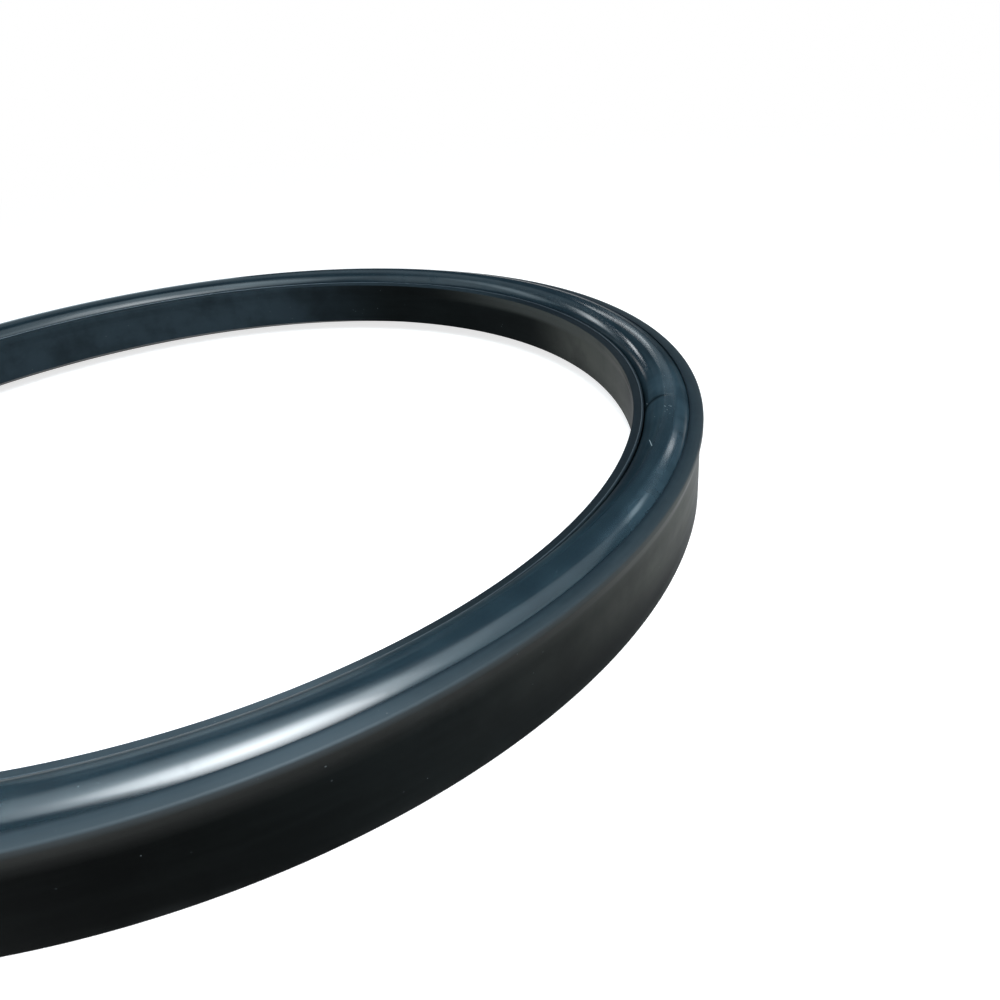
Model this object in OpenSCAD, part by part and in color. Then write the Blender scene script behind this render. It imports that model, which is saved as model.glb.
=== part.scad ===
/* [Housing] */
// Diameter of the rod that the seal wipes
rod_d = 320; // [100:1:400]
// Radial depth of the housing groove, from the rod's surface to the groove's floor
groove_depth = 20; // [17:0.5:24]

/* [Seal body] */
// Height from the heel face to the outer sealing edge
outer_h = 26.4; // [22:0.1:32]
// How much lower the inner sealing edge, on the rod side, stands than the outer one
lip_step = 2.6; // [1:0.1:2.8]
// Thinnest rubber between the energiser's seat and the outer wall
outer_wall_t = 1.75; // [1.2:0.05:3]
// Thinnest rubber between the energiser's seat and the inner wall
inner_wall_t = 2.55; // [1.5:0.05:3.5]
// Gap on the radius between the heel and the housing groove
heel_gap_out = 0.2; // [0.1:0.05:0.5]
// Gap on the radius between the heel and the rod
heel_gap_in = 0.2; // [0.1:0.05:0.5]
// Width of the flat heel face that the seal rests on, beside the outer wall
heel_flat_w = 5.6; // [3:0.1:12]
// Height that the underside rises to at the inner wall, as a shallow cone
heel_relief_h = 5; // [1:0.1:7]
// Rounding of the heel's outer corner
heel_round = 0.8; // [0.3:0.1:2]

/* [Lips] */
// How far the free outer lip stands outside the housing groove
outer_lip_grip = 0.6; // [0.3:0.05:1.2]
// How far the free inner lip stands inside the rod surface
inner_lip_grip = 0.55; // [0.3:0.05:1.2]
// Height of the straight sealing land on each lip
lip_land = 2; // [1.5:0.1:3]
// Height over which each lip flares out from the wall to its land
lip_flare_h = 3; // [2:0.1:5]
// Rise of each lip's top from its sealing edge to its tip beside the energiser
lip_rise = 0.3; // [0.1:0.05:0.8]
// Rounding of the outer sealing edge
outer_edge_round = 0.7; // [0.3:0.1:1]
// Rounding of the inner sealing edge
inner_edge_round = 0.4; // [0.2:0.1:0.8]
// Rounding of the lip tips at the mouth of the groove
tip_round = 0.25; // [0.1:0.05:0.4]
// Width of the raised moulding rim along the inner lip's tip
rim_w = 0.8; // [0.6:0.05:1.5]
// Height of the raised moulding rim along the inner lip's tip
rim_h = 0.25; // [0.1:0.05:0.4]

/* [Energiser] */
// How far the cord's crown stands above the outer sealing edge
crown_rise = 2.65; // [1.5:0.05:2.9]
// Clearance between the cord and the round seat that holds it
seat_gap = 0.15; // [0.05:0.01:0.3]
// Clearance between the cord and the outer lip's tip
outer_tip_gap = 0.6; // [0.3:0.05:1]
// Clearance between the cord and the inner lip's tip
inner_tip_gap = 0.5; // [0.3:0.05:0.6]
// Direction of the splice where the cord's two ends join
splice_angle = 0; // [0:5:355]
// Width of the seam line at the splice
seam_w = 0.5; // [0.2:0.1:1]
// Depth of the seam line at the splice
seam_depth = 0.25; // [0.1:0.05:0.5]

/* [Hidden] */
// Straight steps in each small corner round
arc_steps = 6;
// Steps around each full revolved surface
turn_steps = 180;

rod_r = rod_d / 2;
groove_r = rod_r + groove_depth;
heel_out_r = groove_r - heel_gap_out;
heel_in_r = rod_r + heel_gap_in;
outer_lip_r = groove_r + outer_lip_grip;
inner_lip_r = rod_r - inner_lip_grip;
inner_h = outer_h - lip_step;
outer_tip_z = outer_h + lip_rise;
inner_tip_z = inner_h + lip_rise;

seat_out_r = heel_out_r - outer_wall_t;
seat_in_r = heel_in_r + inner_wall_t;
seat_r = (seat_out_r - seat_in_r) / 2;
cord_r = seat_r - seat_gap;
cord_mid_r = (seat_out_r + seat_in_r) / 2;
cord_z = outer_h + crown_rise - cord_r;

// Half the cord's width at a height above the heel face
function cord_half_width(z) = sqrt(pow(cord_r, 2) - pow(z - cord_z, 2));
mouth_out_r = cord_mid_r + cord_half_width(outer_tip_z) + outer_tip_gap;
mouth_in_r = cord_mid_r - cord_half_width(inner_tip_z) - inner_tip_gap;

// Corner b of the outline a, b, c, replaced by an arc of radius rad
function unit(v) = v / norm(v);
function turn(angle) = angle > 180 ? angle - 360 : angle < -180 ? angle + 360 : angle;
function corner(a, b, c, rad) =
    rad == 0 ? [b] :
    let (to_a = unit(a - b), to_c = unit(c - b))
    let (half = acos(to_a * to_c) / 2)
    let (centre = b + unit(to_a + to_c) * rad / sin(half))
    let (start = b + to_a * rad / tan(half) - centre)
    let (finish = b + to_c * rad / tan(half) - centre)
    let (from = atan2(start.y, start.x))
    let (sweep = turn(atan2(finish.y, finish.x) - from))
    [for (i = [0 : arc_steps])
        centre + rad * [cos(from + sweep * i / arc_steps), sin(from + sweep * i / arc_steps)]];

// Outline through corners given as [radius from the axis, height, rounding]
function rounded(corners) = [
    for (i = [0 : len(corners) - 1])
        let (before = corners[(i + len(corners) - 1) % len(corners)])
        let (here = corners[i])
        let (after = corners[(i + 1) % len(corners)])
        each corner([before.x, before.y], [here.x, here.y], [after.x, after.y], here.z)
];

heel_corners = [
    [heel_in_r, heel_relief_h, 0],
    [heel_out_r - heel_flat_w, 0, 0],
    [heel_out_r, 0, heel_round]
];

outer_lip_corners = [
    [heel_out_r, outer_h - lip_land - lip_flare_h, 0],
    [outer_lip_r, outer_h - lip_land, 0],
    [outer_lip_r, outer_h, outer_edge_round],
    [mouth_out_r, outer_tip_z, tip_round],
    [mouth_out_r, cord_z, 0]
];

inner_lip_corners = [
    [mouth_in_r, cord_z, 0],
    [mouth_in_r, inner_tip_z + rim_h, tip_round],
    [mouth_in_r - rim_w, inner_tip_z + rim_h, tip_round],
    [mouth_in_r - rim_w, inner_tip_z, 0],
    [inner_lip_r, inner_h, inner_edge_round],
    [inner_lip_r, inner_h - lip_land, 0],
    [heel_in_r, inner_h - lip_land - lip_flare_h, 0]
];

// The two-lipped body: a solid heel with a relieved inner half, a round seat and one flared lip on each side
module seal_body() {
    color([0.14, 0.16, 0.17])
    rotate_extrude($fn = turn_steps)
    difference() {
        polygon(rounded(concat(heel_corners, outer_lip_corners, inner_lip_corners)));
        translate([cord_mid_r, cord_z]) circle(seat_r, $fn = turn_steps);
    }
}

// V-shaped ring that marks the splice all round the cord's section
module splice_seam() {
    rotate([0, 0, splice_angle])
    translate([cord_mid_r, 0, cord_z])
    rotate([90, 0, 0])
    rotate_extrude($fn = turn_steps)
    polygon([
        [cord_r - seam_depth, 0],
        [cord_r + seam_depth, -seam_w],
        [cord_r + seam_depth, seam_w]
    ]);
}

// The round rubber cord, joined end to end into a ring, that spreads the lips
module energiser_ring() {
    color([0.12, 0.16, 0.2])
    difference() {
        rotate_extrude($fn = turn_steps)
        translate([cord_mid_r, cord_z]) circle(cord_r, $fn = turn_steps);
        splice_seam();
    }
}

seal_body();
energiser_ring();
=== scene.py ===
import math

import bmesh
import bpy
from mathutils import Matrix, Vector


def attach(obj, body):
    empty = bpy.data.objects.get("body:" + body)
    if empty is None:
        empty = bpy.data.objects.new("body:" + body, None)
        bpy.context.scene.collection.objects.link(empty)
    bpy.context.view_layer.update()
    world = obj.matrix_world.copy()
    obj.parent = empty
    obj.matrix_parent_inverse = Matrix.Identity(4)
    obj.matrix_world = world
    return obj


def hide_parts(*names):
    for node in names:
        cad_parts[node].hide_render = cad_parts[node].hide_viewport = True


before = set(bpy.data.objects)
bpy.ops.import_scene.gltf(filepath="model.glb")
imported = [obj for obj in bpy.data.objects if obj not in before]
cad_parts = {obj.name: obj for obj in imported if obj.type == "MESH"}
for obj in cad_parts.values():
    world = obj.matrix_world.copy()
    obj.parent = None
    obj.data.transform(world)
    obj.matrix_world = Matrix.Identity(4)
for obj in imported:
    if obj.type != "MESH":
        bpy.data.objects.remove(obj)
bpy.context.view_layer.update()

MM = 0.001
DEGREES = 180 / math.pi

# Sizes in millimetres, the same as the CAD model's
ROD_R = 160.0
GROOVE_R = 180.0
HEEL_GAP = 0.2
LIP_GRIP_OUT = 0.6
LIP_GRIP_IN = 0.55
OUTER_H = 26.4
INNER_H = 23.8
LIP_RISE = 0.3
LIP_LAND = 2.0
LIP_FLARE_H = 3.0
FLAT_W = 5.6
RELIEF_H = 5.0
RIM_W = 0.8
RIM_H = 0.25
CORD_MID = 170.4
CORD_Z = 21.55
CAD_CORD_R = 7.5
SEAT_R = 7.65
TIP_GAP_OUT = 0.6
TIP_GAP_IN = 0.5

# Sizes in millimetres of the dressed cord, which is a hair thinner so that it stays inside the CAD's box
CORD_R = 7.49
SPLICE_HALF_W = 0.8
SPLICE_DEPTH = 0.3
# Share of the splice's depth that is left on the outer side of the crown
SPLICE_SHALLOW = 0.12
PATCH_DEPTH = 0.12

# Steps of the dressed meshes. The span to each side of the splice is in radians, the longest step in mm
CORD_SECTION_STEPS = 96
CORD_TURN_STEPS = 900
SPLICE_SPAN = 0.008
SPLICE_STEPS = 40
BODY_TURN_STEPS = 600
BODY_LONGEST_STEP = 3.0
SEAT_STEPS = 28

# Degrees from the splice to the line that the angles of the marks, lamps and camera are counted from
TURN = 2.4
# A degree round the ring is as long as this many degrees round the cord's section
CORD_STRETCH = 22.7


def cord_circle(radius, turn):
    """Point of a circle round the cord's middle, as (radius, height)."""
    return CORD_MID + radius * math.cos(turn), CORD_Z + radius * math.sin(turn)


def cord_reach(height):
    """How far the CAD's cord reaches to either side of its middle at that height."""
    return math.sqrt(CAD_CORD_R**2 - (height - CORD_Z) ** 2)


def seat_turn(radius):
    """Angle round the cord's middle at which the upper half of the seat's circle has that radius."""
    across = radius - CORD_MID
    return math.atan2(math.sqrt(SEAT_R**2 - across**2), across)


def arc_corner(a, b, c, rad, steps=8):
    """Corner b of the outline a, b, c as points on an arc of radius rad."""
    a, b, c = Vector(a), Vector(b), Vector(c)
    to_a, to_c = (a - b).normalized(), (c - b).normalized()
    half = to_a.angle(to_c) / 2
    centre = b + (to_a + to_c).normalized() * rad / math.sin(half)
    start = b + to_a * rad / math.tan(half) - centre
    end = b + to_c * rad / math.tan(half) - centre
    sweep = start.angle_signed(end)
    points = []
    for i in range(steps + 1):
        turn = -sweep * i / steps
        x = start.x * math.cos(turn) - start.y * math.sin(turn)
        y = start.x * math.sin(turn) + start.y * math.cos(turn)
        points.append((centre.x + x, centre.y + y))
    return points


def section_outline():
    """Closed outline of the seal body in (radius, height), anticlockwise, in millimetres."""
    heel_out, heel_in = GROOVE_R - HEEL_GAP, ROD_R + HEEL_GAP
    lip_out, lip_in = GROOVE_R + LIP_GRIP_OUT, ROD_R - LIP_GRIP_IN
    tip_out, tip_in = OUTER_H + LIP_RISE, INNER_H + LIP_RISE
    mouth_out = CORD_MID + cord_reach(tip_out) + TIP_GAP_OUT
    mouth_in = CORD_MID - cord_reach(tip_in) - TIP_GAP_IN
    # Each corner is its radius, its height and its rounding. None stands for the seat.
    corners = [
        (heel_in, RELIEF_H, 0.15),
        (heel_out - FLAT_W, 0, 0.15),
        (heel_out, 0, 0.8),
        (heel_out, OUTER_H - LIP_LAND - LIP_FLARE_H, 6.0),
        (lip_out, OUTER_H - LIP_LAND, 2.5),
        (lip_out, OUTER_H, 0.7),
        (mouth_out, tip_out, 0.25),
        None,
        (mouth_in, tip_in + RIM_H, 0.2),
        (mouth_in - RIM_W, tip_in + RIM_H, 0.12),
        (mouth_in - RIM_W, tip_in, 0.08),
        (lip_in, INNER_H, 0.4),
        (lip_in, INNER_H - LIP_LAND, 2.5),
        (heel_in, INNER_H - LIP_LAND - LIP_FLARE_H, 6.0),
    ]
    first = seat_turn(mouth_out)
    last = seat_turn(mouth_in) - math.tau
    seat = [cord_circle(SEAT_R, first + (last - first) * i / SEAT_STEPS) for i in range(SEAT_STEPS + 1)]
    outline = []
    for i, here in enumerate(corners):
        if here is None:
            outline += seat
            continue
        before = corners[i - 1]
        after = corners[(i + 1) % len(corners)]
        before = seat[-1] if before is None else before[:2]
        after = seat[0] if after is None else after[:2]
        outline += arc_corner(before, here[:2], after, here[2])
    return outline


def split_long(outline, longest):
    """The outline with points added so that no step is longer than longest."""
    out = []
    for i, (r0, z0) in enumerate(outline):
        r1, z1 = outline[(i + 1) % len(outline)]
        parts = max(1, math.ceil(math.dist((r0, z0), (r1, z1)) / longest))
        for k in range(parts):
            out.append((r0 + (r1 - r0) * k / parts, z0 + (z1 - z0) * k / parts))
    return out


def ring_mesh(name, outline, angles, shift=None):
    """Closed outline turned about Z. shift(angle, radius, height) may move a point, in millimetres."""
    n, m = len(outline), len(angles)
    verts = []
    for t in angles:
        c, s = math.cos(t), math.sin(t)
        for r, z in outline:
            if shift:
                r, z = shift(t, r, z)
            verts.append((r * c * MM, r * s * MM, z * MM))
    faces = []
    for j in range(m):
        k = (j + 1) % m
        for i in range(n):
            h = (i + 1) % n
            faces.append((j * n + i, k * n + i, k * n + h, j * n + h))
    mesh = bpy.data.meshes.new(name)
    mesh.from_pydata(verts, [], faces)
    mesh.flip_normals()
    for p in mesh.polygons:
        p.use_smooth = True
    mesh.update()
    obj = bpy.data.objects.new(name, mesh)
    bpy.context.collection.objects.link(obj)
    return obj


def even_angles(count, near=(), width=0.0, extra=0):
    """Angles round the ring in radians, with extra steps within width of each angle in near."""
    out = {round(math.tau * i / count, 7) for i in range(count)}
    for t in near:
        out |= {round((t + width * (2 * i / extra - 1)) % math.tau, 7) for i in range(extra + 1)}
    return sorted(out)


def wrapped(t):
    """The angle t between minus and plus half a turn."""
    return (t + math.pi) % math.tau - math.pi


def eased(x, lo, hi):
    """Rises smoothly from 0 at lo to 1 at hi."""
    t = min(1.0, max(0.0, (x - lo) / (hi - lo)))
    return t * t * (3 - 2 * t)


def hump(x, start, full, fading, gone):
    """0 before start, 1 from full to fading, and 0 again after gone."""
    return eased(x, start, full) * (1 - eased(x, fading, gone))


def cord_shift(t, r, z):
    """Moves a point of the cord inwards at the splice's line and in the shallow dressed patch beside it."""
    along = wrapped(t) * CORD_MID
    x, y = r - CORD_MID, z - CORD_Z
    section = math.degrees(math.atan2(y, x))
    dip = SPLICE_DEPTH * max(0.0, 1 - abs(along) / SPLICE_HALF_W)
    dip *= SPLICE_SHALLOW + (1 - SPLICE_SHALLOW) * eased(section, 82, 122)
    patch = PATCH_DEPTH * hump(along, 0.0, 1.2, 9, 24) * hump(section, 70, 90, 140, 158)
    k = 1 - (dip + patch) / CORD_R
    return CORD_MID + x * k, CORD_Z + y * k


# The energiser cord, with the splice where its ends join
cord_outline = [cord_circle(CORD_R, math.tau * i / CORD_SECTION_STEPS) for i in range(CORD_SECTION_STEPS)]
cord_angles = even_angles(CORD_TURN_STEPS, near=(0.0,), width=SPLICE_SPAN, extra=SPLICE_STEPS)
cord = ring_mesh("Cord", cord_outline, cord_angles, cord_shift)
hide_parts("energiser_ring")
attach(cord, "root")

# The two-lipped rubber ring
body_outline = split_long(section_outline(), BODY_LONGEST_STEP)
body = ring_mesh("Seal_Body", body_outline, even_angles(BODY_TURN_STEPS))
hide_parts("seal_body")
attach(body, "root")


class Nodes:
    """Short calls that build the nodes of one material or of the world."""

    def __init__(self, tree, out_kind):
        self.tree = tree
        self.tree.nodes.clear()
        self.out = self.add(out_kind)

    def put(self, socket, value):
        """Links the socket to another node's output, or gives it a plain value."""
        if isinstance(value, bpy.types.NodeSocket):
            self.tree.links.new(value, socket)
        else:
            socket.default_value = value

    def add(self, kind, inputs=None, **props):
        """New node with those properties. inputs holds a link or a value by each input's name or number."""
        node = self.tree.nodes.new(kind)
        for key, value in props.items():
            setattr(node, key, value)
        for key, value in (inputs or {}).items():
            self.put(node.inputs[key], value)
        return node

    def surface(self, shader):
        self.put(self.out.inputs["Surface"], shader.outputs[0])

    def math(self, op, a, b=0.0, clamp=False):
        return self.add("ShaderNodeMath", {0: a, 1: b}, operation=op, use_clamp=clamp).outputs[0]

    def joined(self, op, values):
        """The values put together one after another by the same operation."""
        out = values[0]
        for value in values[1:]:
            out = self.math(op, out, value)
        return out

    def product(self, *values):
        return self.joined("MULTIPLY", values)

    def largest(self, *values):
        return self.joined("MAXIMUM", values)

    def weighted(self, *pairs):
        """Sum of the values, each times its weight."""
        return self.joined("ADD", [self.math("MULTIPLY", value, weight) for value, weight in pairs])

    def opposite(self, value, clamp=False):
        """1 where the mask is 0 and 0 where it is 1."""
        return self.math("SUBTRACT", 1.0, value, clamp)

    def ramp(self, value, lo, hi, out_lo=0.0, out_hi=1.0, smooth=True):
        """Goes from out_lo to out_hi while the value goes from lo to hi."""
        inputs = {"Value": value, "From Min": lo, "From Max": hi, "To Min": out_lo, "To Max": out_hi}
        kind = "SMOOTHSTEP" if smooth else "LINEAR"
        return self.add("ShaderNodeMapRange", inputs, interpolation_type=kind).outputs[0]

    def fall(self, value, lo, hi):
        """1 up to lo and 0 from hi on."""
        return self.ramp(value, lo, hi, 1.0, 0.0)

    def band(self, value, lo, hi, soft):
        """1 where the value lies between lo and hi, with soft ends."""
        return self.product(self.ramp(value, lo - soft, lo + soft), self.fall(value, hi - soft, hi + soft))

    def mix(self, fac, a, b):
        """Colour a, painted over with colour b by fac."""
        node = self.add("ShaderNodeMix", {"Factor": fac, "A": a, "B": b}, data_type="RGBA")
        return node.outputs["Result"]

    def vector(self, x, y, z):
        return self.add("ShaderNodeCombineXYZ", {0: x, 1: y, 2: z}).outputs[0]

    def noise(self, place, scale, detail=2.0, rough=0.5):
        inputs = {"Vector": place, "Scale": scale, "Detail": detail, "Roughness": rough}
        return self.add("ShaderNodeTexNoise", inputs).outputs["Fac"]

    def streaks(self, x, y, across, along_mm, across_step):
        """Noise drawn out along the ring: along_mm long and across_step wide."""
        k = 1 / MM / along_mm
        place = self.vector(self.product(x, k), self.product(y, k), self.math("DIVIDE", across, across_step))
        return self.noise(place, 1.0, 3.0)

    def specks(self, place, scale, size):
        """1 in small round dots. A larger scale sets them closer, and size is their share of the spacing."""
        cells = self.add("ShaderNodeTexVoronoi", {"Vector": place, "Scale": scale}, feature="F1")
        return self.math("LESS_THAN", cells.outputs["Distance"], size)

    def scratch(self, angle, section, start, end, width):
        """A short mark on the cord from start to end, both as (angle, section), in degrees of the section."""
        a0, c0 = start[0] * CORD_STRETCH, start[1]
        a1, c1 = end[0] * CORD_STRETCH, end[1]
        length = math.hypot(a1 - a0, c1 - c0)
        ua, uc = (a1 - a0) / length, (c1 - c0) / length
        da = self.math("SUBTRACT", self.product(angle, CORD_STRETCH), a0)
        dc = self.math("SUBTRACT", section, c0)
        along = self.math("ADD", self.product(da, ua), self.product(dc, uc))
        off = self.math("ABSOLUTE", self.math("SUBTRACT", self.product(da, uc), self.product(dc, ua)))
        return self.product(self.fall(off, width * 0.4, width), self.band(along, 0, length, width))

    def place(self):
        """The object's coordinates, their x, y and z, and the distance from the ring's axis, in metres."""
        coordinates = self.add("ShaderNodeTexCoord").outputs["Object"]
        x, y, z = self.add("ShaderNodeSeparateXYZ", {0: coordinates}).outputs
        radius = self.math("SQRT", self.math("ADD", self.product(x, x), self.product(y, y)))
        return coordinates, x, y, z, radius

    def ring_angle(self, x, y):
        """Degrees round the ring. They jump by a turn on the hidden side, so masks fade out before it."""
        return self.math("SUBTRACT", self.product(self.math("ARCTAN2", y, x), DEGREES), TURN)

    def left_fade(self, angle):
        return self.ramp(angle, -172, -135)

    def right_fade(self, angle):
        return self.fall(angle, 130, 172)

    def seen(self):
        """1 for what the camera, a reflection or a clear material sees, and 0 for light on the object."""
        path = self.add("ShaderNodeLightPath").outputs
        direct = self.math("ADD", path["Is Camera Ray"], path["Is Glossy Ray"])
        return self.math("ADD", direct, path["Is Transmission Ray"], clamp=True)

    def bump(self, height):
        """Normals of a surface with that height, in millimetres."""
        node = self.add("ShaderNodeBump", {"Strength": 1.0, "Distance": MM, "Height": height})
        return node.outputs["Normal"]


def new_material(name):
    material = bpy.data.materials.new(name)
    material.use_nodes = True
    return material, Nodes(material.node_tree, "ShaderNodeOutputMaterial")


def colour(r, g, b):
    return (r, g, b, 1.0)


# Colours of the cord
CORD_DEEP = colour(0.0082, 0.0178, 0.0242)
CORD_CLEAR = colour(0.0135, 0.0272, 0.0352)
CORD_STREAK = colour(0.02, 0.034, 0.042)
CORD_PALE_AND_SHEEN = colour(0.028, 0.05, 0.064)
CORD_SHADED = colour(0.003, 0.009, 0.014)
CORD_DUST = colour(0.16, 0.19, 0.2)
CORD_SCRATCH = colour(0.3, 0.36, 0.38)
SPLICE_DARK = colour(0.002, 0.004, 0.005)
SPLICE_SMEAR = colour(0.003, 0.007, 0.009)

# Scratches of the cord: start and end as (angle, section), and the width
SCRATCHES = [
    ((-5.4, 84.5), (-5.25, 91.5), 0.9),
    ((-14.2, 105.0), (-12.7, 117.0), 0.9),
    ((-2.1, 148.5), (-1.3, 156.0), 1.14),
    ((-5.4, 98.5), (-5.2, 100.5), 0.66),
]


def cord_dullness(n, angle, section):
    """Where the lips or hands have rubbed the cord's polish off, from 0 to 1."""
    inner_flank = n.ramp(section, 92.0, 112.0)
    outer_flank = n.fall(section, 66.0, 88.0)
    nearer = n.ramp(angle, -56, -46, 0.86, 1.0)
    inside = n.product(inner_flank, nearer, n.fall(angle, 3, 10), n.left_fade(angle))
    outside = n.product(outer_flank, n.ramp(angle, -15, -4), n.fall(angle, 150, 175))
    low = n.product(n.ramp(section, 141, 150), n.ramp(angle, -10, 0), n.ramp(angle, 28, 45, 0.9, 0.0))
    edge = n.product(n.fall(section, 50, 57), n.ramp(angle, -23, -15, 0.0, 0.6), n.right_fade(angle))
    slanted = n.math("SUBTRACT", section, n.product(angle, 0.62))
    middle = n.product(n.ramp(slanted, 94.5, 99.0), n.fall(section, 121, 127), n.band(angle, 3, 25, 3), 0.92)
    far = n.product(n.ramp(section, 118, 132), n.band(angle, 107, 131, 7), 0.4)
    return n.largest(inside, outside, low, edge, middle, far)


def cord_rubber():
    """Dark blue-green rubber with a polished skin that is duller where the lips have rubbed it. It carries a
    painted sheen on its outer flank and a painted shade on its inner flank.
    """
    material, n = new_material("Cord_Rubber")
    place, x, y, z, radius = n.place()
    angle = n.ring_angle(x, y)
    # Degrees round the cord's own section: 0 at its outermost point, 90 on the crown
    above = n.math("SUBTRACT", z, CORD_Z * MM)
    beyond = n.math("SUBTRACT", radius, CORD_MID * MM)
    section = n.product(n.math("ARCTAN2", above, beyond), DEGREES)

    long_streaks = n.streaks(x, y, section, 22.0, 5.0)
    fine_streaks = n.streaks(x, y, section, 9.0, 1.6)
    blotches = n.noise(place, 90.0, 3.0)
    tone = n.weighted((long_streaks, 0.5), (blotches, 0.5))
    base = n.mix(n.ramp(tone, 0.36, 0.64), CORD_DEEP, CORD_CLEAR)
    base = n.mix(n.product(n.ramp(fine_streaks, 0.55, 0.8), 0.35), base, CORD_STREAK)
    # Pale marks: a patch beside the splice, and a painted sheen along the outer side from -30 to 6 degrees. A
    # patch of painted shade lies before them.
    pale_and_sheen = n.product(n.band(angle, -5, 5, 6), n.ramp(section, 150, 158, 1.0, 0.3))
    # Along the outer side the pale band is a painted sheen
    pale_and_sheen = n.largest(pale_and_sheen, n.product(n.fall(section, 68, 82), n.band(angle, -30, 6, 5)))
    base = n.mix(n.product(pale_and_sheen, n.ramp(blotches, 0.35, 0.6, 0.45, 0.85)), base, CORD_PALE_AND_SHEEN)
    # Painted shade on the inner flank from -27 to -15 degrees
    shaded = n.product(n.band(angle, -27, -15, 5), n.ramp(section, 92, 104), 0.6)
    base = n.mix(shaded, base, CORD_SHADED)
    # Dust, thicker close to the splice
    size = n.math("ADD", n.product(n.band(angle, -8, 3, 3), 0.06), 0.045)
    dust = n.product(n.specks(place, 420.0, size), n.ramp(blotches, 0.5, 0.62), 0.5)
    base = n.mix(dust, base, CORD_DUST)
    for start, end, width in SCRATCHES:
        base = n.mix(n.scratch(angle, section, start, end, width), base, CORD_SCRATCH)
    # The splice's line: darker, wider and stronger towards the inner side, and a smear below its inner end
    off = n.math("ABSOLUTE", n.math("ADD", angle, TURN))
    line = n.fall(n.math("DIVIDE", off, n.ramp(section, 84, 135, 0.35, 1.3)), 0.05, 0.8)
    line = n.product(line, n.ramp(section, 80, 115, 0.1, 0.72))
    base = n.mix(line, base, SPLICE_DARK)
    smear = n.product(n.band(angle, -3.2, 3.0, 2.0), n.ramp(section, 142, 150), 0.6)
    base = n.mix(smear, base, SPLICE_SMEAR)

    # The skin is a sharp coat, which the dull places and the splice's line take off
    worn = n.product(cord_dullness(n, angle, section), 0.97)
    dull = n.largest(worn, n.ramp(blotches, 0.56, 0.74, 0.0, 0.35))
    skin = n.product(n.opposite(dull, clamp=True), n.opposite(line))
    rough = n.math("ADD", n.ramp(long_streaks, 0.3, 0.7, 0.44, 0.54), n.product(dull, 0.2))
    waves = n.noise(place, 120.0, 1.0)
    grain = n.noise(place, 1900.0, 2.0)
    height = n.weighted((waves, 0.006), (fine_streaks, 0.0007), (grain, 0.0002))
    sockets = {
        "Base Color": base,
        "Roughness": rough,
        "IOR": 1.05,
        "Coat Weight": skin,
        "Coat Roughness": 0.16,
        "Coat IOR": 1.8,
        "Normal": n.bump(height),
    }
    n.surface(n.add("ShaderNodeBsdfPrincipled", sockets))
    return material


# Colours of the seal body
WALL_BLACK = colour(0.0008, 0.0011, 0.0011)
WALL_DARK = colour(0.002, 0.0025, 0.0024)
WALL_FILM = colour(0.0065, 0.008, 0.008)
WALL_HAZE_AND_LIGHT = colour(0.029, 0.042, 0.051)
WALL_DUST_AND_SHEEN = colour(0.072, 0.071, 0.062)
FLARE_PALE = colour(0.066, 0.069, 0.063)
LIP_BLOOM = colour(0.0225, 0.0225, 0.021)
LIP_DUST_AND_SHEEN = colour(0.075, 0.075, 0.068)
EDGE_BLOOM_AND_HIGHLIGHT = colour(0.042, 0.048, 0.051)
FOOT_DUST = colour(0.014, 0.015, 0.015)
WALL_SCUFF = colour(0.03, 0.034, 0.034)
TOP_DEEP = colour(0.0135, 0.0225, 0.0285)
TOP_CLEAR = colour(0.0185, 0.0295, 0.0365)
TOP_HIGHLIGHT = colour(0.055, 0.074, 0.087)
TOP_SHADED = colour(0.002, 0.004, 0.006)
WORN_EDGE = colour(0.032, 0.041, 0.046)
WORN_EDGE_HIGHLIGHT = colour(0.062, 0.078, 0.088)
CREVICE_SHADE = colour(0.006, 0.012, 0.018)
RIM_HIGHLIGHT = colour(0.2, 0.24, 0.27)
BODY_DUST = colour(0.12, 0.135, 0.14)


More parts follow.
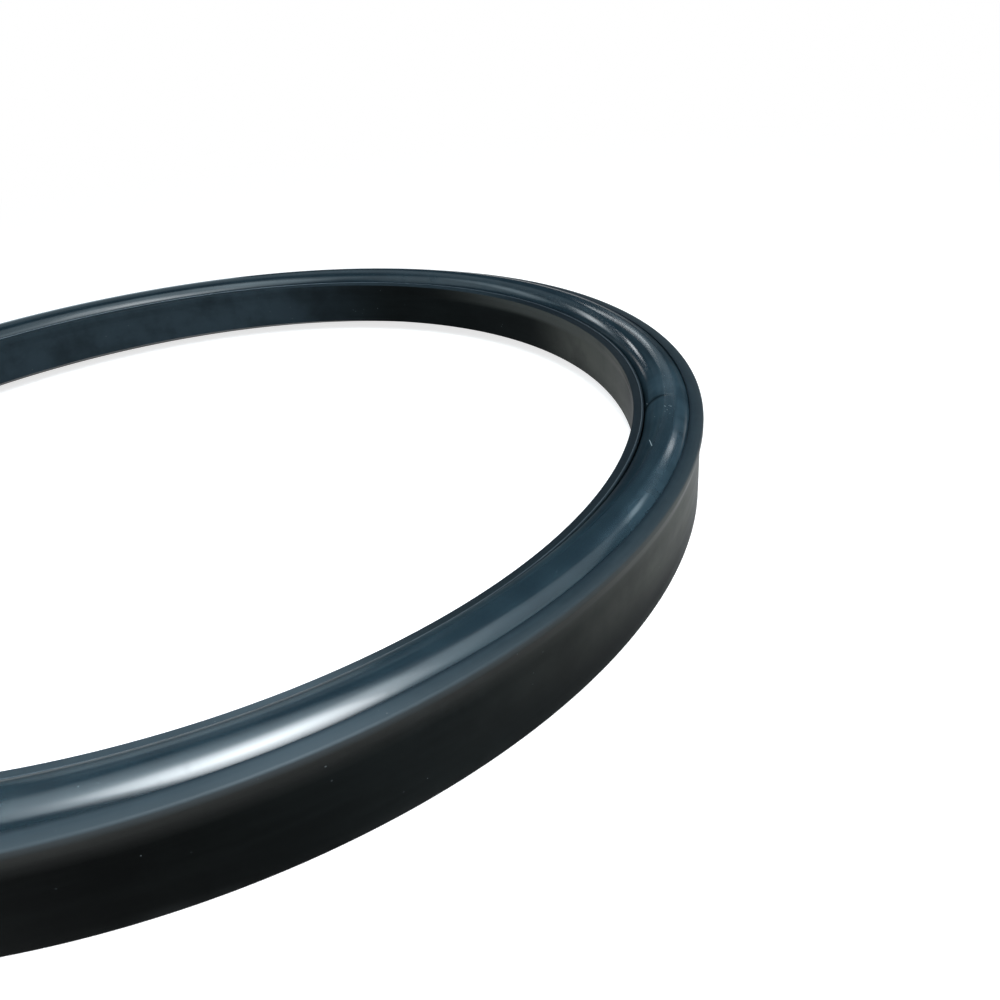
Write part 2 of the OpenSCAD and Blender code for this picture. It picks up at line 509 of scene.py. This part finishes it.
def wall_colour(n, angle, z_mm, outer, inner, tone, cloud, wall_streaks):
    """Colour of both walls: nearly black rubber under film, haze, dust and bloom, with a painted shadow on
    the nearest part, painted light in the haze, a painted sheen in the dust and a painted highlight on the
    outer edge.
    """
    base = n.mix(n.ramp(tone, 0.38, 0.62), WALL_BLACK, WALL_DARK)
    # Thin grey film, but for the nearest part of the outer wall, which stays darker as a painted shadow
    film_outside_painted_shadow = n.largest(inner, n.product(n.ramp(angle, -68, -46), n.right_fade(angle)))
    base = n.mix(n.product(film_outside_painted_shadow, n.ramp(tone, 0.3, 0.7, 0.6, 1.0)), base, WALL_FILM)
    # Grey-blue haze on the far part of the inner wall, around 135 degrees, partly a painted pool of light
    aside = n.math("ABSOLUTE", n.math("SUBTRACT", angle, 135))
    aside = n.math("MINIMUM", aside, n.math("SUBTRACT", 360, aside))
    haze_and_light = n.product(inner, n.fall(aside, 30, 62), n.ramp(cloud, 0.3, 0.6, 0.55, 1.0))
    base = n.mix(haze_and_light, base, WALL_HAZE_AND_LIGHT)
    # Warm dust and a painted sheen where the walls turn to the right and are seen edge-on
    turning = n.product(n.ramp(angle, -56, -16), n.right_fade(angle))
    dust_and_sheen_out = n.product(outer, turning, turning)
    sector = n.product(n.ramp(angle, 6, 14), n.fall(angle, 26, 44))
    dust_and_sheen_in = n.product(inner, sector, n.ramp(z_mm, 1.5, 12.0, 0.5, 1.0))
    dust_and_sheen = n.largest(dust_and_sheen_in, n.product(dust_and_sheen_out, n.ramp(z_mm, 3.0, 15.0)))
    base = n.mix(n.product(dust_and_sheen, n.ramp(cloud, 0.3, 0.65, 0.55, 1.0)), base, WALL_DUST_AND_SHEEN)
    # Paler band on the flare of the inner wall, from 22 to 55 degrees
    flare = n.product(inner, n.ramp(z_mm, 17.0, 20.0), n.band(angle, 22, 55, 13), 0.8)
    base = n.mix(flare, base, FLARE_PALE)
    # Warm bloom below the outer lip, taking the painted sheen's colour where the wall turns to the right, and
    # greyer towards its edge, with a painted highlight there at the near left
    uneven = n.ramp(wall_streaks, 0.3, 0.7, 0.85, 1.15, smooth=False)
    under_lip = n.product(outer, n.ramp(z_mm, 18.6, 24.8, smooth=False), uneven)
    base = n.mix(under_lip, base, n.mix(dust_and_sheen_out, LIP_BLOOM, LIP_DUST_AND_SHEEN))
    # Painted highlight on the outer edge, stronger at the near left
    edge_bloom_and_highlight = n.math("ADD", n.product(n.ramp(angle, -36, -20, 0.45, 0.0), n.left_fade(angle)), 0.4)
    base = n.mix(n.product(outer, n.ramp(z_mm, 23.9, 26.0), edge_bloom_and_highlight), base, EDGE_BLOOM_AND_HIGHLIGHT)
    # Paler foot, where the wall has stood in dust
    foot = n.product(outer, n.fall(z_mm, 0.3, 3.5), n.ramp(cloud, 0.35, 0.6), 0.5)
    base = n.mix(foot, base, FOOT_DUST)
    scuff = n.product(outer, n.band(angle, -50, -45.5, 1.5), n.ramp(z_mm, 15, 23))
    return n.mix(n.product(scuff, n.ramp(cloud, 0.4, 0.6), 0.5), base, WALL_SCUFF)


def top_colour(n, angle, r_mm, outer, inner, top_tone):
    """Colour of the lips' tops: blue-grey, with a painted highlight towards the near left and a worn outer
    edge that is painted brighter there.
    """
    base = n.mix(n.ramp(top_tone, 0.35, 0.65), TOP_DEEP, TOP_CLEAR)
    # Painted highlight at the near left
    left = n.product(n.ramp(angle, -57, -36, 0.4, 0.0), n.left_fade(angle))
    near_left_highlight = n.largest(n.band(angle, -61, -52, 10), left)
    base = n.mix(n.product(near_left_highlight, 0.95), base, TOP_HIGHLIGHT)
    middle = n.product(inner, n.ramp(n.math("ABSOLUTE", angle), 42, 56, 0.6, 0.0))
    base = n.mix(middle, base, TOP_SHADED)
    worn = n.product(outer, n.ramp(r_mm, 177.6, 180.3), 0.6)
    return n.mix(worn, base, n.mix(near_left_highlight, WORN_EDGE, WORN_EDGE_HIGHLIGHT))


def seal_rubber():
    """Matt black rubber, with a grey bloom on the lips' tops that fades down the outer wall. Painted
    highlights, sheen, light and shade lie over it.
    """
    material, n = new_material("Seal_Rubber")
    place, x, y, z, radius = n.place()
    angle = n.ring_angle(x, y)
    z_mm = n.product(z, 1 / MM)
    r_mm = n.product(radius, 1 / MM)
    outer = n.math("GREATER_THAN", r_mm, CORD_MID)
    inner = n.opposite(outer)

    wall_streaks = n.streaks(x, y, z_mm, 30.0, 3.0)
    top_streaks = n.streaks(x, y, r_mm, 16.0, 1.1)
    cloud = n.noise(place, 45.0, 4.0, 0.6)
    fine = n.noise(place, 420.0, 3.0)
    tone = n.weighted((wall_streaks, 0.5), (cloud, 0.5))
    top_tone = n.weighted((fine, 0.35), (top_streaks, 0.65))

    base = wall_colour(n, angle, z_mm, outer, inner, tone, cloud, wall_streaks)
    top_out = n.product(outer, n.ramp(z_mm, 25.75, 26.35))
    top = n.largest(top_out, n.product(inner, n.ramp(z_mm, 23.35, 23.85)))
    base = n.mix(top, base, top_colour(n, angle, r_mm, outer, inner, top_tone))
    # Painted shade on the outer lip's tip beside the cord, and a painted highlight along the moulding rim of
    # the inner lip's tip
    crevice_shade = n.product(outer, n.ramp(r_mm, 176.5, 177.8, 0.7, 0.0), n.ramp(z_mm, 26.3, 26.5))
    base = n.mix(crevice_shade, base, CREVICE_SHADE)
    # Painted highlight on the inner lip's rim, strongest on the far side
    rim_highlight = n.product(inner, n.ramp(z_mm, 24.12, 24.25), n.fall(r_mm, 162.15, 162.45))
    rim_highlight = n.product(rim_highlight, n.ramp(n.math("ABSOLUTE", angle), 70, 105, 0.32, 1.0))
    base = n.mix(rim_highlight, base, RIM_HIGHLIGHT)
    dust = n.product(n.specks(place, 300.0, 0.06), n.ramp(cloud, 0.5, 0.6), 0.5)
    base = n.mix(dust, base, BODY_DUST)

    grain = n.noise(place, 2200.0, 2.0)
    waves = n.noise(place, 90.0, 2.0)
    height = n.weighted((grain, 0.0025), (fine, 0.006), (waves, 0.03))
    sockets = {
        "Base Color": base,
        "Roughness": n.ramp(tone, 0.3, 0.7, 0.33, 0.43),
        "IOR": 1.5,
        "Specular IOR Level": 0.01,
        "Coat Weight": n.product(top, 0.3),
        "Coat Roughness": 0.45,
        "Coat IOR": 1.5,
        "Normal": n.bump(height),
    }
    n.surface(n.add("ShaderNodeBsdfPrincipled", sockets))
    return material


cord.data.materials.append(cord_rubber())
body.data.materials.append(seal_rubber())


def floor_pale():
    """Pale floor: white to the camera where no shadow falls on it, and plain white further out."""
    material, n = new_material("Floor_Pale")
    radius = n.place()[-1]
    seen = n.seen()
    lit = n.add("ShaderNodeBsdfDiffuse", {"Color": colour(0.55, 0.545, 0.535)})
    lift = n.add("ShaderNodeEmission", {"Strength": n.product(seen, 0.75)})
    near = n.add("ShaderNodeAddShader", {0: lit.outputs[0], 1: lift.outputs[0]})
    far = n.add("ShaderNodeEmission", {"Strength": 1.0})
    share = n.product(seen, n.ramp(radius, 0.35, 0.9))
    n.surface(n.add("ShaderNodeMixShader", {0: share, 1: near.outputs[0], 2: far.outputs[0]}))
    return material


def ceiling_cool():
    material, n = new_material("Ceiling_Cool")
    n.surface(n.add("ShaderNodeEmission", {"Color": colour(0.42, 0.72, 1.0), "Strength": 0.07}))
    return material


# Floor, in metres, a hair below the heel
FLOOR_R = 12
FLOOR_Z = -0.0002
bpy.ops.mesh.primitive_circle_add(vertices=96, radius=FLOOR_R, fill_type="NGON", location=(0, 0, FLOOR_Z))
floor = bpy.context.object
floor.name = "Floor"
floor.data.materials.append(floor_pale())

# Ceiling: a dim cool dome, in metres, that only reflections see
CEILING_R = 4.0
CEILING_FOOT = 0.02
bpy.ops.mesh.primitive_uv_sphere_add(segments=64, ring_count=32, radius=CEILING_R)
dome = bpy.context.object
dome.name = "Ceiling"
for p in dome.data.polygons:
    p.use_smooth = True
bm = bmesh.new()
bm.from_mesh(dome.data)
bmesh.ops.delete(bm, geom=[v for v in bm.verts if v.co.z < CEILING_FOOT], context="VERTS")
bm.to_mesh(dome.data)
bm.free()
dome.data.materials.append(ceiling_cool())
dome.visible_camera = False
dome.visible_diffuse = False
dome.visible_shadow = False
dome.visible_transmission = False

# World: soft cool light for the object, and white for what is seen
world = bpy.data.worlds.new("Studio")
bpy.context.scene.world = world
world.use_nodes = True
n = Nodes(world.node_tree, "ShaderNodeOutputWorld")
soft = n.add("ShaderNodeBackground", {"Color": colour(0.8, 0.9, 1.0), "Strength": 0.5})
white = n.add("ShaderNodeBackground", {"Color": colour(1, 1, 1), "Strength": 1.0})
n.surface(n.add("ShaderNodeMixShader", {0: n.seen(), 1: soft.outputs[0], 2: white.outputs[0]}))

NEUTRAL = (0.93, 0.97, 1.0)
COOL = (0.74, 0.91, 1.0)
NO_GRID = 180.0


def spin(degrees, axis, size=4):
    return Matrix.Rotation(math.radians(degrees), size, axis)


def lamp(name, at, azimuth, elevation, wide, high, radiance, away, roll=0.0, spread=NO_GRID, tint=NEUTRAL):
    """Area lamp that the point at, in millimetres, sees in that direction, away metres off.

    It is wide by high degrees across there. spread is the angle that its grid lets through.
    """
    a, e = math.radians(azimuth + TURN), math.radians(elevation)
    way = Vector((math.cos(e) * math.cos(a), math.cos(e) * math.sin(a), math.sin(e)))
    data = bpy.data.lights.new(name, "AREA")
    data.shape = "RECTANGLE"
    data.size = 2 * away * math.tan(math.radians(wide) / 2)
    data.size_y = 2 * away * math.tan(math.radians(high) / 2)
    data.energy = radiance * math.pi * data.size * data.size_y
    if spread < NO_GRID:
        # Blender brightens a lamp that has a grid, so its power comes down to keep the radiance
        half = math.radians(spread) / 2
        data.spread = 2 * half
        data.energy *= 1 - half / math.tan(half)
    data.color = tint
    obj = bpy.data.objects.new(name, data)
    bpy.context.collection.objects.link(obj)
    obj.location = spin(TURN, "Z", 3) @ Vector(at) * MM + way * away
    obj.rotation_euler = (way.to_track_quat("Z", "Y").to_matrix() @ spin(roll, "Z", 3)).to_euler()
    obj.visible_camera = False


# Each lamp is placed for one of the photograph's highlights or for the soft light round it
lamp("Key", (85, -148, 28), azimuth=-62, elevation=59, wide=52, high=38, radiance=9.4,
     away=0.36, roll=-60, spread=54)
lamp("Key_Mid", (85, -148, 28), azimuth=-61, elevation=62, wide=66, high=56, radiance=4.0,
     away=0.38, roll=-60, spread=62)
lamp("Key_Soft", (105, -125, 28), azimuth=-20, elevation=58, wide=90, high=46, radiance=1.05,
     away=0.4, roll=-25, spread=120, tint=COOL)
lamp("Halo", (75, -152, 28), azimuth=-120, elevation=76, wide=60, high=60, radiance=1.6,
     away=0.45, spread=90, tint=COOL)
lamp("Low", (85, -148, 28), azimuth=125, elevation=12, wide=24, high=30, radiance=1.2,
     away=0.5, spread=60, tint=COOL)
lamp("Top", (-60, 155, 27), azimuth=-65, elevation=60, wide=66, high=54, radiance=1.2,
     away=0.7, spread=100, tint=COOL)
lamp("Side", (30, 160, 27), azimuth=-165, elevation=42, wide=50, high=34, radiance=0.6,
     away=0.6, spread=90, tint=COOL)
lamp("Back", (-85, 147, 29), azimuth=121, elevation=52, wide=44, high=40, radiance=0.4,
     away=0.5, spread=60, tint=COOL)
lamp("Arc", (159, 57.9, 29), azimuth=97.8, elevation=24.5, wide=26.7, high=2.2, radiance=3.6,
     away=0.1148)
lamp("Arc_Glow", (163, 50, 28), azimuth=80, elevation=22, wide=30, high=14, radiance=0.34,
     away=0.17, tint=COOL)
lamp("Spot_A", (158, -74, 28), azimuth=44, elevation=32.5, wide=12, high=5, radiance=2.8,
     away=0.5, roll=25, spread=30, tint=COOL)
lamp("Spot_B", (168, -42, 28.4), azimuth=61, elevation=24, wide=11, high=2.2, radiance=5.5,
     away=0.5, roll=30, spread=30)
lamp("Spot_C", (160.6, 40, 27.2), azimuth=121.5, elevation=18.5, wide=6, high=2.6, radiance=8.0,
     away=0.5, roll=-45, spread=24)
lamp("Spot_D", (143.5, 81, 26.8), azimuth=141.5, elevation=22.5, wide=14, high=6, radiance=4.2,
     away=0.5, roll=-62, spread=28)
lamp("Spot_E", (106, 126, 26.5), azimuth=165, elevation=36, wide=12, high=26, radiance=1.25,
     away=0.5, spread=40, tint=COOL)

# Camera, fitted to the photograph, in millimetres and degrees
CAMERA_AT = (152.47, -243.94, 131.33)
CAMERA_PAN = 9.109
CAMERA_DOWN = 30.106
CAMERA_ROLL = -5.587
FOCAL_LENGTH = 29.332
SENSOR_WIDTH = 36.0
camera_data = bpy.data.cameras.new("Camera")
camera_data.sensor_width = SENSOR_WIDTH
camera_data.lens = FOCAL_LENGTH
camera_data.clip_start = 0.01
camera_data.clip_end = 100.0
camera = bpy.data.objects.new("Camera", camera_data)
bpy.context.collection.objects.link(camera)
aim = spin(CAMERA_PAN, "Z") @ spin(90 - CAMERA_DOWN, "X") @ spin(CAMERA_ROLL, "Z")
camera.matrix_world = spin(TURN, "Z") @ Matrix.Translation(Vector(CAMERA_AT) * MM) @ aim
bpy.context.scene.camera = camera
bpy.context.scene.view_settings.view_transform = "Standard"
